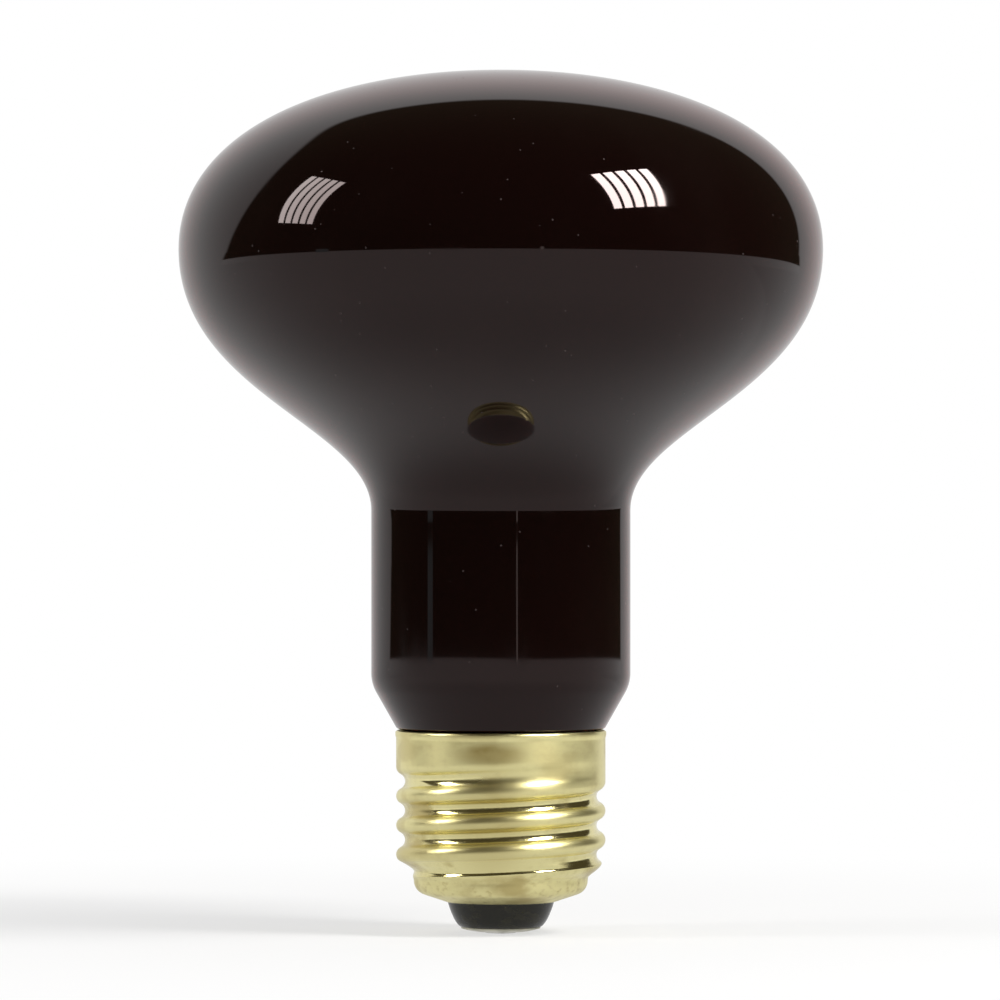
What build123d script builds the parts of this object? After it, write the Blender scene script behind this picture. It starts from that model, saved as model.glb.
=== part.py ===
"""Incandescent spot bulb with a reflector-shaped glass envelope and an Edison screw cap.

The bulb stands on its centre contact, cap down and dome up, with +Z along its axis.
The origin is the lowest point of the centre contact. All sizes are in millimetres.
"""

from build123d import *
from math import atan, cos, degrees, radians, tan
import os

# Centre contact and its solder
contact_diameter = 9.8
contact_sheet = 0.3
contact_rise = 0.5
solder_drop = 0.12
solder_flat_diameter = 2.0
solder_diameter = 4.4
eyelet_diameter = 2.4
lead_diameter = 0.5
lead_end_cover = 0.3

# Black glass insulator in the bottom of the cap
insulator_exposed = 3.3
insulator_foot_diameter = 10.2
insulator_bulge = 0.2
insulator_foot_step = 0.16
insulator_fill = 0.8
insulator_mouth_step = 0.12

# Brass screw shell, rolled from sheet
shell_length = 20.9
shell_wall = 0.3
thread_diameter = 26.0
mouth_diameter = 13.5
bowl_diameter = 21.6
bowl_slope = 21.0
bowl_corner = 1.4
bowl_wall_height = 1.4
shoulder_slope = 45.0
rim_flare = 0.12
rim_band = 0.85

# Screw thread: the land is the width of the flat at the root and at the crest
thread_pitch = 3.629
thread_depth = 1.096
thread_start = 2.15
run_out_height = 3.36
skirt_length = 4.5
run_out_overcut = 0.15
thread_land = 0.9
groove_clearance = 0.2

# Glass envelope: reflector dome, flared side, neck and sealed foot
reflector_diameter = 80.0
dome_height = 22.8
crown_reach = 22.2
dome_fullness = 15.0
side_fullness = 17.3
side_height = 31.8
neck_diameter = 32.2
neck_length = 21.5
neck_sweep = 10.4
neck_cone_height = 5.9
neck_cone_corner = 5.0
seat_diameter = 25.9
seat_gap = 0.3
seat_undercut = 0.6
seal_diameter = 22.0
seal_depth = 10.8
seal_chamfer = 1.6
flare_diameter = 11.0
flare_height = 14.0
exhaust_diameter = 4.0
exhaust_reach = 4.0
exhaust_tip_diameter = 1.6

# Cement ring and lead wires
cement_height = 3.0
cement_recess = 1.0
lead_spacing = 6.6
lead_clearance = 1.0
side_lead_gap = 0.3
side_lead_reach = 0.2
rim_notch_width = 0.8
rim_notch_depth = 0.95
side_solder_radius = 1.6
side_solder_rise = 1.0
side_solder_drop = 1.6

# Blown outlines are cut into narrow conical bands, this many to each curve
dome_bands = 6
side_bands = 6

# Heights above the origin
contact_edge = solder_drop + contact_rise
mouth_height = contact_edge + insulator_exposed
rim_height = mouth_height + shell_length
seat_height = rim_height + seat_gap
neck_foot = seat_height + neck_cone_height
neck_top = neck_foot + neck_length
equator_height = neck_top + side_height
dome_top = equator_height + dome_height

# Radii that several pieces share
thread_radius = thread_diameter / 2
thread_root = thread_radius - thread_depth
bore_radius = thread_root - shell_wall
skirt_bore = thread_radius - shell_wall
mouth_radius = mouth_diameter / 2
bowl_radius = bowl_diameter / 2
bowl_bore = bowl_radius - shell_wall
lead_radius = lead_diameter / 2
seal_radius = seal_diameter / 2
contact_radius = contact_diameter / 2
solder_radius = solder_diameter / 2
eyelet_radius = eyelet_diameter / 2

# The bowl closes the shell's lower end with a shallow cone
bowl_corner_height = mouth_height + (bowl_radius - mouth_radius) * tan(radians(bowl_slope))
bowl_top = bowl_corner_height + bowl_wall_height
shoulder_height = (thread_radius - bowl_radius) / tan(radians(shoulder_slope))
sheet_rise = shell_wall / cos(radians(bowl_slope))
bowl_bore_corner = mouth_height + sheet_rise
bowl_bore_corner += (bowl_bore - mouth_radius) * tan(radians(bowl_slope))

# The insulator fills the bowl a little way up its wall
insulator_top = bowl_bore_corner + insulator_fill

# The groove's lowest pass, the end of its full depth and the height where it has run out
groove_low = mouth_height + thread_start
run_out_top = rim_height - skirt_length
groove_full_top = run_out_top - run_out_height

os.makedirs("parts", exist_ok=True)


def corner_points(before, corner, after, radius):
    """The two points where a rounded corner of an outline begins and ends."""
    incoming = (Vector(corner) - Vector(before)).normalized()
    outgoing = (Vector(after) - Vector(corner)).normalized()
    reach = radius * tan(radians(incoming.get_angle(outgoing)) / 2)
    start = Vector(corner) - incoming * reach
    end = Vector(corner) + outgoing * reach
    return [(start.X, start.Y), (end.X, end.Y)]


def band_place(share):
    """Where a band ends along a blown curve: bands are narrower at the curve's ends."""
    return (share + share**2 * (3 - 2 * share)) / 2


def groove_outline(height):
    """Outline of the rolled groove across one pitch, as points in the plane of the axis.

    Its root, its two flanks and the crest between two turns are all straight strips.
    """
    root = thread_land / 2
    flank_lean = (thread_pitch / 2 - thread_land) / thread_depth
    mouth = root + flank_lean * (thread_depth + groove_clearance)
    outer = thread_radius + groove_clearance
    return [
        (outer, height - mouth),
        (thread_root, height - root),
        (thread_root, height + root),
        (outer, height + mouth),
    ]


# Screw shell: a turned blank, with the thread rolled into it as one helical groove
with BuildPart() as thread_groove:
    with BuildLine() as groove_path:
        Helix(thread_pitch, groove_full_top - groove_low, thread_root, center=(0, 0, groove_low))
    with BuildSketch(Plane.XZ):
        with BuildLine():
            Polyline(*groove_outline(groove_low), close=True)
        make_face()
    sweep(path=groove_path.line, is_frenet=True)

run_out_slope = degrees(atan((thread_depth + run_out_overcut) / run_out_height))
with BuildPart() as groove_run_out:
    with BuildLine() as run_out_path:
        Helix(
            thread_pitch,
            run_out_height,
            thread_root,
            center=(0, 0, groove_full_top),
            cone_angle=run_out_slope,
        )
    with BuildSketch(Plane.XZ):
        with BuildLine():
            Polyline(*groove_outline(groove_full_top), close=True)
        make_face()
    sweep(path=run_out_path.line, is_frenet=True)

mouth_edge = (mouth_radius, mouth_height)
bowl_edge = (bowl_radius, bowl_corner_height)
bowl_outside = [mouth_edge]
bowl_outside += corner_points(mouth_edge, bowl_edge, (bowl_radius, bowl_top), bowl_corner)
mouth_inner_edge = (mouth_radius, mouth_height + sheet_rise)
bowl_inner_edge = (bowl_bore, bowl_bore_corner)
bowl_inside = [mouth_inner_edge]
bowl_inside += corner_points(
    mouth_inner_edge, bowl_inner_edge, (bowl_bore, bowl_top), bowl_corner - shell_wall
)
with BuildPart() as screw_shell:
    with BuildSketch(Plane.XZ):
        with BuildLine():
            Polyline(
                *bowl_outside,
                (bowl_radius, bowl_top),
                (thread_radius, bowl_top + shoulder_height),
                (thread_radius, rim_height - rim_band),
                (thread_radius + rim_flare, rim_height),
                (0, rim_height),
                (0, mouth_height),
                close=True,
            )
        make_face()
    revolve(axis=Axis.Z)
    blank = screw_shell.part
    add(thread_groove.part, mode=Mode.SUBTRACT)
    add(groove_run_out.part, mode=Mode.SUBTRACT)
    shoulder_lift = (bore_radius - bowl_bore) / tan(radians(shoulder_slope))
    with BuildSketch(Plane.XZ):
        with BuildLine():
            Polyline(
                *bowl_inside,
                (bowl_bore, bowl_top),
                (bore_radius, bowl_top + shoulder_lift),
                (bore_radius, groove_full_top),
                (skirt_bore, run_out_top),
                (skirt_bore, rim_height + shell_wall),
                (0, rim_height + shell_wall),
                (0, mouth_height - shell_wall),
                (mouth_radius, mouth_height - shell_wall),
                close=True,
            )
        make_face()
    revolve(axis=Axis.Z, mode=Mode.SUBTRACT)
    notch_centre = (skirt_bore + thread_radius) / 2
    with Locations((0, notch_centre, rim_height)):
        Box(rim_notch_width, 4 * shell_wall, 2 * rim_notch_depth, mode=Mode.SUBTRACT)

# Insulator: black glass poured into the bowl, with the shell's edge held in it
foot_radius = insulator_foot_diameter / 2
foot_height = contact_edge + insulator_foot_step
contact_underside = [
    (eyelet_radius, solder_drop),
    (solder_radius, solder_drop),
    (contact_radius, contact_edge),
]
contact_topside = [(radius, height + contact_sheet) for radius, height in contact_underside]
exposed_top = mouth_radius - insulator_mouth_step
barrel_radius = (foot_radius + exposed_top) / 2 + insulator_bulge
with BuildPart() as base_insulator:
    with BuildSketch(Plane.XZ):
        with BuildLine():
            Polyline(
                (foot_radius, foot_height),
                (barrel_radius, (foot_height + mouth_height) / 2),
                (exposed_top, mouth_height),
                mouth_edge,
                *bowl_inside,
                (bowl_bore, insulator_top),
                (eyelet_radius, insulator_top),
                *contact_topside,
                (contact_radius, foot_height),
                close=True,
            )
        make_face()
    revolve(axis=Axis.Z)

# Centre contact: a dished sheet disc with an eyelet for the lead wire
with BuildPart() as centre_contact:
    with BuildSketch(Plane.XZ):
        with BuildLine():
            Polyline(*contact_underside, *reversed(contact_topside), close=True)
        make_face()
    revolve(axis=Axis.Z)

# Solder that fills the eyelet and ends in a small flat, the bulb's lowest face
eyelet_top = solder_drop + contact_sheet
with BuildPart() as centre_solder:
    with BuildSketch(Plane.XZ):
        with BuildLine():
            Polyline(
                (0, 0),
                (solder_flat_diameter / 2, 0),
                (solder_radius, solder_drop),
                (eyelet_radius, solder_drop),
                (eyelet_radius, eyelet_top),
                (lead_radius, eyelet_top),
                (lead_radius, lead_end_cover),
                (0, lead_end_cover),
                close=True,
            )
        make_face()
    revolve(axis=Axis.Z)

# Glass envelope: sealed and opaque, so it is one solid from its dome to its exhaust tip
reflector_radius = reflector_diameter / 2
neck_radius = neck_diameter / 2
seat_radius = seat_diameter / 2
seal_foot = rim_height - seal_depth
flare_top = seal_foot + flare_height
exhaust_radius = exhaust_diameter / 2
exhaust_tip = seal_foot - exhaust_reach
neck_corner = corner_points(
    (neck_radius, neck_top),
    (neck_radius, neck_foot),
    (seat_radius, seat_height),
    neck_cone_corner,
)
dome = Bezier(
    (0, dome_top),
    (crown_reach, dome_top),
    (reflector_radius, equator_height + dome_fullness),
    (reflector_radius, equator_height),
)
side = Bezier(
    (reflector_radius, equator_height),
    (reflector_radius, equator_height - side_fullness),
    (neck_radius, neck_top + neck_sweep),
    (neck_radius, neck_top),
)
with BuildPart() as glass_envelope:
    with BuildSketch(Plane.XZ):
        with BuildLine():
            Polyline(
                *[dome @ band_place(step / dome_bands) for step in range(dome_bands)],
                *[side @ band_place(step / side_bands) for step in range(side_bands + 1)],
                *neck_corner,
                (seat_radius, seat_height),
                (seal_radius, seat_height - seat_undercut),
                (seal_radius, seal_foot + seal_chamfer),
                (seal_radius - seal_chamfer, seal_foot),
                (flare_diameter / 2, seal_foot),
                (flare_diameter / 2, flare_top),
                (exhaust_radius, flare_top),
                (exhaust_radius, exhaust_tip + exhaust_radius),
                (exhaust_tip_diameter / 2, exhaust_tip),
                (0, exhaust_tip),
                close=True,
            )
        make_face()
    revolve(axis=Axis.Z)

# Lead wires: one to the centre contact, one up past the seal and out over the rim
lead_offset = lead_spacing / 2
with BuildPart() as centre_lead_wire:
    with BuildLine() as centre_lead_path:
        Polyline(
            (-lead_offset, 0, flare_top),
            (-lead_offset, 0, exhaust_tip),
            (0, 0, insulator_top + lead_diameter),
            (0, 0, lead_end_cover),
        )
    with BuildSketch(Plane.XY.offset(flare_top)):
        with Locations((-lead_offset, 0)):
            Circle(lead_radius)
    sweep(path=centre_lead_path.line, transition=Transition.RIGHT)

side_lead_radius = seal_radius + side_lead_gap
side_lead_low = seal_foot - lead_clearance
side_lead_high = rim_height - rim_notch_depth + lead_radius
side_lead_end = thread_radius + side_lead_reach
with BuildPart() as side_lead_wire:
    with BuildLine() as side_lead_path:
        Polyline(
            (0, lead_offset, flare_top),
            (0, lead_offset, side_lead_low),
            (0, side_lead_radius, side_lead_low),
            (0, side_lead_radius, side_lead_high),
            (0, side_lead_end, side_lead_high),
        )
    with BuildSketch(Plane.XY.offset(flare_top)):
        with Locations((0, lead_offset)):
            Circle(lead_radius)
    sweep(path=side_lead_path.line, transition=Transition.RIGHT)

# Cement ring between the glass and the skirt, cast round the side lead wire
cement_top = rim_height - cement_recess
with BuildPart() as base_cement:
    with BuildSketch(Plane.XY.offset(cement_top - cement_height)):
        Circle(skirt_bore)
        Circle(seal_radius, mode=Mode.SUBTRACT)
    extrude(amount=cement_height)
    add(side_lead_wire.part, mode=Mode.SUBTRACT)

# Side solder: a blob on the skirt at the back, over the end of the side lead wire
with BuildPart() as side_solder:
    blob_centre = thread_radius + side_solder_rise - side_solder_radius
    with Locations((0, blob_centre, rim_height - side_solder_drop)):
        Sphere(side_solder_radius)
    add(blank, mode=Mode.SUBTRACT)
    add(side_lead_wire.part, mode=Mode.SUBTRACT)

pieces = {
    "glass_envelope": glass_envelope,
    "screw_shell": screw_shell,
    "base_insulator": base_insulator,
    "centre_contact": centre_contact,
    "centre_solder": centre_solder,
    "side_solder": side_solder,
    "base_cement": base_cement,
    "centre_lead_wire": centre_lead_wire,
    "side_lead_wire": side_lead_wire,
}
for name, piece in pieces.items():
    piece.part.label = name
    export_step(piece.part, f"parts/{name}.step")
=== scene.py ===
"""Looks of the incandescent spot bulb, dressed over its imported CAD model.

The bulb stands on its centre contact with +Z along its axis, and -Y is the front.
All lengths are in metres. Run it as a script in Blender 4.5.
"""

import math

import bmesh
import bpy
from bpy.props import FloatProperty, FloatVectorProperty, IntProperty, PointerProperty
from mathutils import Matrix, Vector, noise
from mathutils.geometry import interpolate_bezier


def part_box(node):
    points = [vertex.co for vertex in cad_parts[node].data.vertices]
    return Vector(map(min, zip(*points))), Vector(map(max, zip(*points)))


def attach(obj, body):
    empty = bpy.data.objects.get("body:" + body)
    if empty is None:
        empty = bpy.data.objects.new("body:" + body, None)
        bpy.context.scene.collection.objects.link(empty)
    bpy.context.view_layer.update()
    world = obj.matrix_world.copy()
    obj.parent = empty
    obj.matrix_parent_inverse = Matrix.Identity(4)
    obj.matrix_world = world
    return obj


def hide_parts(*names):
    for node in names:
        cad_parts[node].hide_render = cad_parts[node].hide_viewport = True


bl_info = {
    "name": "Incandescent spot bulb",
    "version": (1, 0, 0),
    "blender": (4, 5, 0),
    "location": "View3D > Sidebar > Spot Bulb",
    "description": "Builds the glass, screw cap, insulator and contact of a reflector bulb",
    "category": "Add Mesh",
}

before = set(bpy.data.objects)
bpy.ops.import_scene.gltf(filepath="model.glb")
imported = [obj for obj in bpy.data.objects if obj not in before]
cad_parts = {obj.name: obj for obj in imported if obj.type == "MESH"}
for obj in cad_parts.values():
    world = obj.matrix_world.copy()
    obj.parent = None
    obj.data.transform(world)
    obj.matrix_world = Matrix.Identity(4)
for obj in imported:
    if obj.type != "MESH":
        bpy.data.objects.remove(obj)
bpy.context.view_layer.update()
MM = 0.001

SHELL_LOW, SHELL_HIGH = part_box("screw_shell")
GLASS_LOW, GLASS_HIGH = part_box("glass_envelope")
INSULATOR_LOW, INSULATOR_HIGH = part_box("base_insulator")
CONTACT_LOW, CONTACT_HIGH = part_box("centre_contact")

DUST = (0.12, 0.10, 0.10)
WHITE = (1.0, 1.0, 1.0)
# What gloss sees of the studio: the pale walls, the dark room, and the floor near and far, the near
# floor darker as a painted shadow of the bulb
BACKDROP = (0.76, 0.76, 0.76)
ROOM = (0.056, 0.048, 0.030)
SHADED_NEAR_FLOOR = (0.66, 0.66, 0.66)
FAR_FLOOR = (0.84, 0.84, 0.84)
# What matt surfaces see of the studio all round
FILL = (0.42, 0.42, 0.42)


def length(name, default, description):
    """A length in metres that a user can change."""
    return FloatProperty(
        name=name,
        description=description,
        default=default,
        min=0.0,
        precision=5,
        subtype="DISTANCE",
        unit="LENGTH",
    )


def colour(name, default, description):
    """A surface colour that a user can change, as linear red, green and blue."""
    return FloatVectorProperty(
        name=name,
        description=description,
        default=default,
        min=0.0,
        max=1.0,
        size=3,
        subtype="COLOR",
    )


class SpotBulbGlass(bpy.types.PropertyGroup):
    """Sizes and colour of the blown glass envelope."""

    reflector_radius: length("Reflector radius", GLASS_HIGH.x, "Radius at the widest place")
    dome_height: length("Dome height", 22.2 * MM, "From the widest place up to the top")
    crown_reach: length("Crown reach", 22.2 * MM, "How far out the flat crown carries")
    dome_fullness: length("Dome fullness", 14.4 * MM, "How far up the edge stays full")
    side_fullness: length("Side fullness", 18.0 * MM, "How far down the side stays full")
    side_height: length("Side height", 32.4 * MM, "From the neck up to the widest place")
    neck_radius: length("Neck radius", 16.1 * MM, "Radius of the straight neck")
    neck_length: length("Neck length", 21.5 * MM, "Length of the straight neck")
    neck_sweep: length("Neck sweep", 10.4 * MM, "How high the neck sweeps into the side")
    neck_corner: length("Neck corner", 5.0 * MM, "Radius of the turn at the neck's foot")
    seat_radius: length("Seat radius", 12.95 * MM, "Radius where the glass meets the cap")
    seal_radius: length("Seal radius", 11.0 * MM, "Radius of the foot inside the cap")
    unevenness: length("Unevenness", 0.02 * MM, "How far the blown wall wanders")
    tint: colour("Tint", (0.0038, 0.0010, 0.0009), "Colour of the opaque glass")
    haze: colour("Haze", (0.0060, 0.0026, 0.0022), "Colour of its hazier zones")
    # The edge colour is a painted brown sheen, added to the glass's colour where it is seen edge on
    edge: colour("Edge", (0.052, 0.009, 0.006), "Brown cast where the glass is seen edge on")
    gloss: colour("Gloss", (0.92, 0.74, 0.72), "Brown cast of what the glass mirrors")


class SpotBulbShell(bpy.types.PropertyGroup):
    """Sizes and colours of the rolled brass screw shell."""

    thread_pitch: length("Thread pitch", 3.629 * MM, "Rise of the thread in one turn")
    thread_depth: length("Thread depth", 1.096 * MM, "From the crest to the root")
    crest_radius: length("Crest radius", 13.0 * MM, "Radius at the thread's crest")
    crest_height: length("Crest height", 11.6 * MM, "Height of a crest on the +X side")
    sheet: length("Sheet thickness", 0.3 * MM, "Thickness of the brass sheet")
    mouth_radius: length("Mouth radius", 6.75 * MM, "Radius where the insulator comes out")
    bowl_radius: length("Bowl radius", 10.8 * MM, "Radius of the short wall under the thread")
    bowl_corner: length("Bowl corner", 1.9 * MM, "Radius of the bowl's rounded edge")
    bowl_rise: length("Bowl rise", 1.35 * MM, "Height of the bowl's sloping bottom")
    bowl_wall: length("Bowl wall", 1.6 * MM, "Height of the short wall")
    shoulder_rise: length("Shoulder rise", 1.95 * MM, "Height of the slope up to the crest")
    run_out: length("Run-out", 1.6 * MM, "Height in which the thread fades into the skirt")
    skirt: length("Skirt", 4.65 * MM, "Height of the plain skirt above the thread")
    band: length("Band", 0.8 * MM, "Height of the bead along the rim")
    rim_height: length("Rim height", SHELL_HIGH.z + 0.4 * MM, "Height of the rim")
    around: IntProperty(
        name="Around", description="Faces round the shell", default=200, min=24, max=400
    )
    along: IntProperty(
        name="Along", description="Faces up the shell", default=170, min=24, max=400
    )
    brass: colour("Brass", (0.93, 0.85, 0.43), "Clean sheet brass")
    # This brown colours the real film and stains, and also the painted dark reflections at the
    # front of the shell
    patina_and_dark_reflection: colour("Patina", (0.45, 0.33, 0.10), "Brown film on handled brass")


class SpotBulbTip(bpy.types.PropertyGroup):
    """Sizes and colours of the insulator, the contact and the solder."""

    foot_radius: length("Foot radius", 5.1 * MM, "Radius of the insulator's lower edge")
    barrel_radius: length("Barrel radius", 6.63 * MM, "Radius of the insulator at the shell")
    contact_radius: length("Contact radius", CONTACT_HIGH.x, "Radius of the contact")
    contact_sheet: length("Contact sheet", 0.3 * MM, "Thickness of the contact's sheet")
    solder_radius: length("Solder radius", 2.2 * MM, "Radius of the solder on the contact")
    black_glass: colour("Black glass", (0.0095, 0.0085, 0.0035), "The poured insulator")
    tin: colour("Tin", (0.60, 0.58, 0.46), "Tinned sheet of the contact")
    solder: colour("Solder", (0.62, 0.61, 0.58), "Set solder")
    cement: colour("Cement", (0.16, 0.125, 0.085), "Baked basing cement")
    wire: colour("Wire", (0.55, 0.44, 0.33), "Plated copper lead wire")


class SpotBulbStudio(bpy.types.PropertyGroup):
    """Sizes of the floor, and where the camera stands and aims."""

    frame_width: length("Frame width", 124.2 * MM, "What the picture shows across")
    aim_height: length("Aim height", 53.8 * MM, "Height at the picture's centre")
    distance: length("Distance", 0.95, "From the bulb to the camera")
    rise: FloatProperty(
        name="Rise",
        description="How far the camera looks down",
        default=math.radians(0.3),
        subtype="ANGLE",
        unit="ROTATION",
    )
    floor_size: length("Floor size", 6.0, "Side of the square floor")
    floor: colour("Floor", (0.86, 0.86, 0.86), "Colour of the pale floor")


SETTINGS = {
    "spot_glass": SpotBulbGlass,
    "spot_shell": SpotBulbShell,
    "spot_tip": SpotBulbTip,
    "spot_studio": SpotBulbStudio,
}


class Wiring:
    """Puts nodes into a tree and joins them, so that a tree reads like a formula."""

    def __init__(self, tree):
        self.tree = tree

    def put(self, kind, inputs=None, **settings):
        """A new node with its settings, and its inputs set or joined by name or index."""
        node = self.tree.nodes.new(kind)
        row, column = divmod(len(self.tree.nodes), 12)
        node.location = (180 * column, -220 * row)
        for name, value in settings.items():
            setattr(node, name, value)
        for key, value in (inputs or {}).items():
            self.give(node.inputs[key], value)
        return node

    def give(self, socket, value):
        """Joins an output to a socket, or sets the socket to a plain value."""
        if isinstance(value, bpy.types.NodeSocket):
            self.tree.links.new(value, socket)
        else:
            socket.default_value = value

    def math(self, operation, *values):
        """The output of a Math node."""
        return self.put("ShaderNodeMath", dict(enumerate(values)), operation=operation).outputs[0]

    def vector(self, operation, *values):
        """The output of a Vector Math node: a number for a length or a dot product."""
        node = self.put("ShaderNodeVectorMath", dict(enumerate(values)), operation=operation)
        number = operation in ("LENGTH", "DOT_PRODUCT")
        return node.outputs["Value" if number else "Vector"]

    def place(self):
        """The point on the object, in the object's own metres."""
        return self.put("ShaderNodeTexCoord").outputs["Object"]

    def clouds(self, place, scale, detail):
        """A cloudy value from 0 to 1."""
        inputs = {"Vector": place, "Scale": scale, "Detail": detail}
        return self.put("ShaderNodeTexNoise", inputs).outputs[0]

    def blend(self, share, low, high):
        """A colour between two colours."""
        node = self.put("ShaderNodeMix", data_type="RGBA")
        self.give(node.inputs["Factor"], share)
        for socket, value in ((node.inputs[6], low), (node.inputs[7], high)):
            self.give(socket, value if isinstance(value, bpy.types.NodeSocket) else (*value, 1.0))
        return node.outputs[2]

    def between(self, share, low, high):
        """A number between two numbers."""
        return self.put("ShaderNodeMix", {0: share, 2: low, 3: high}).outputs[0]

    def ease(self, value, start, end):
        """A smooth step from 0 at start to 1 at end."""
        inputs = {0: value, 1: start, 2: end}
        return self.put("ShaderNodeMapRange", inputs, interpolation_type="SMOOTHSTEP").outputs[0]


def sockets(tree, wanted, outputs):
    """Gives a node group its named inputs and outputs, and returns them as seen inside it."""
    for name, kind, default in wanted:
        socket = tree.interface.new_socket(name, in_out="INPUT", socket_type=kind)
        socket.default_value = default
    for name, kind in outputs:
        tree.interface.new_socket(name, in_out="OUTPUT", socket_type=kind)
    return tree.nodes.new("NodeGroupInput").outputs, tree.nodes.new("NodeGroupOutput").inputs


def patches_group():
    """Soft-edged patches of noise on the surface, as a mask."""
    name = "Patches"
    if name in bpy.data.node_groups:
        return bpy.data.node_groups[name]
    tree = bpy.data.node_groups.new(name, "ShaderNodeTree")
    wanted = (
        ("Scale", "NodeSocketFloat", 100.0),
        ("Stretch", "NodeSocketVector", (1.0, 1.0, 1.0)),
        ("Start", "NodeSocketFloat", 0.4),
        ("End", "NodeSocketFloat", 0.7),
        ("Detail", "NodeSocketFloat", 4.0),
    )
    given, result = sockets(tree, wanted, (("Mask", "NodeSocketFloat"),))
    wiring = Wiring(tree)
    stretched = wiring.vector("MULTIPLY", wiring.place(), given["Stretch"])
    clouds = wiring.clouds(stretched, given["Scale"], given["Detail"])
    wiring.give(result["Mask"], wiring.ease(clouds, given["Start"], given["End"]))
    return tree


def specks_group():
    """Small round specks scattered on the surface, as a mask."""
    name = "Specks"
    if name in bpy.data.node_groups:
        return bpy.data.node_groups[name]
    tree = bpy.data.node_groups.new(name, "ShaderNodeTree")
    wanted = (
        ("Scale", "NodeSocketFloat", 900.0),
        ("Size", "NodeSocketFloat", 0.25),
        ("Share", "NodeSocketFloat", 0.15),
    )
    given, result = sockets(tree, wanted, (("Mask", "NodeSocketFloat"),))
    wiring = Wiring(tree)
    inputs = {"Vector": wiring.place(), "Scale": given["Scale"]}
    cells = wiring.put("ShaderNodeTexVoronoi", inputs)
    near = wiring.math("LESS_THAN", cells.outputs["Distance"], given["Size"])
    pick = wiring.put("ShaderNodeSeparateColor", {0: cells.outputs["Color"]}).outputs[0]
    chosen = wiring.math("LESS_THAN", pick, given["Share"])
    wiring.give(result["Mask"], wiring.math("MULTIPLY", near, chosen))
    return tree


def place_group(wiring, tree, inputs):
    """Places a shared node group in a material, with this material's own values."""
    node = wiring.put("ShaderNodeGroup", node_tree=tree)
    for key, value in inputs.items():
        wiring.give(node.inputs[key], value)
    return node.outputs[0]


def patches(wiring, **inputs):
    """A mask of soft-edged patches, each input named as in the shared group."""
    return place_group(wiring, patches_group(), inputs)


def specks(wiring, **inputs):
    """A mask of small specks, each input named as in the shared group."""
    return place_group(wiring, specks_group(), inputs)


def new_material(name):
    """An empty node material with its output and one Principled BSDF."""
    material = bpy.data.materials.new(name)
    material.use_nodes = True
    material.node_tree.nodes.clear()
    wiring = Wiring(material.node_tree)
    shader = wiring.put("ShaderNodeBsdfPrincipled")
    wiring.put("ShaderNodeOutputMaterial", {"Surface": shader.outputs[0]})
    return material, wiring, shader.inputs


def bump(wiring, height, distance):
    """The normal that a height map gives, where a height of 1 stands for the distance."""
    return wiring.put("ShaderNodeBump", {"Height": height, "Distance": distance}).outputs[0]


def glass_material(sizes):
    """Near-black blown glass: glossy, faintly brown, with haze, smears and a little dust, and a
    painted brown sheen where it is seen edge on.
    """
    material, wiring, shader = new_material("Dark blown glass")
    haze = patches(wiring, Scale=45.0, Stretch=(1, 1, 0.6), Start=0.42, End=0.72, Detail=5.0)
    smears = patches(wiring, Scale=160.0, Stretch=(1, 1, 0.25), Start=0.52, End=0.75, Detail=6.0)
    dust = specks(wiring, Scale=1300.0, Size=0.15, Share=0.03)
    body = wiring.blend(haze, sizes.tint, sizes.haze)
    # A painted brown sheen: the colour turns to the edge colour where the glass is seen edge on
    facing = wiring.put("ShaderNodeLayerWeight", {"Blend": 0.5}).outputs["Facing"]
    body = wiring.blend(wiring.ease(facing, 0.62, 0.84), body, sizes.edge)
    dusty = wiring.blend(wiring.math("MULTIPLY", dust, 0.3), body, DUST)
    clean_roughness = wiring.between(smears, 0.03, 0.07)
    waves = wiring.clouds(wiring.place(), 45.0, 1.0)
    for socket, value in (
        ("Base Color", dusty),
        ("Roughness", wiring.between(dust, clean_roughness, 0.4)),
        ("Normal", bump(wiring, waves, 0.03 * MM)),
        ("IOR", 1.41),
        ("Specular Tint", (*sizes.gloss, 1.0)),
    ):
        wiring.give(shader[socket], value)
    return material


# Painted dark brown reflections at the front of the skirt and of the lower thread, where the brass
# faces the camera and the dark room:
# how far below the rim, how each axis is squeezed, and how strong
PAINTED_FRONT_REFLECTIONS = (
    (2.2 * MM, (0.32, 0.16, 1.0), 1.0),
    (11.0 * MM, (0.28, 0.16, 0.2), 0.5),
)


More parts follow.
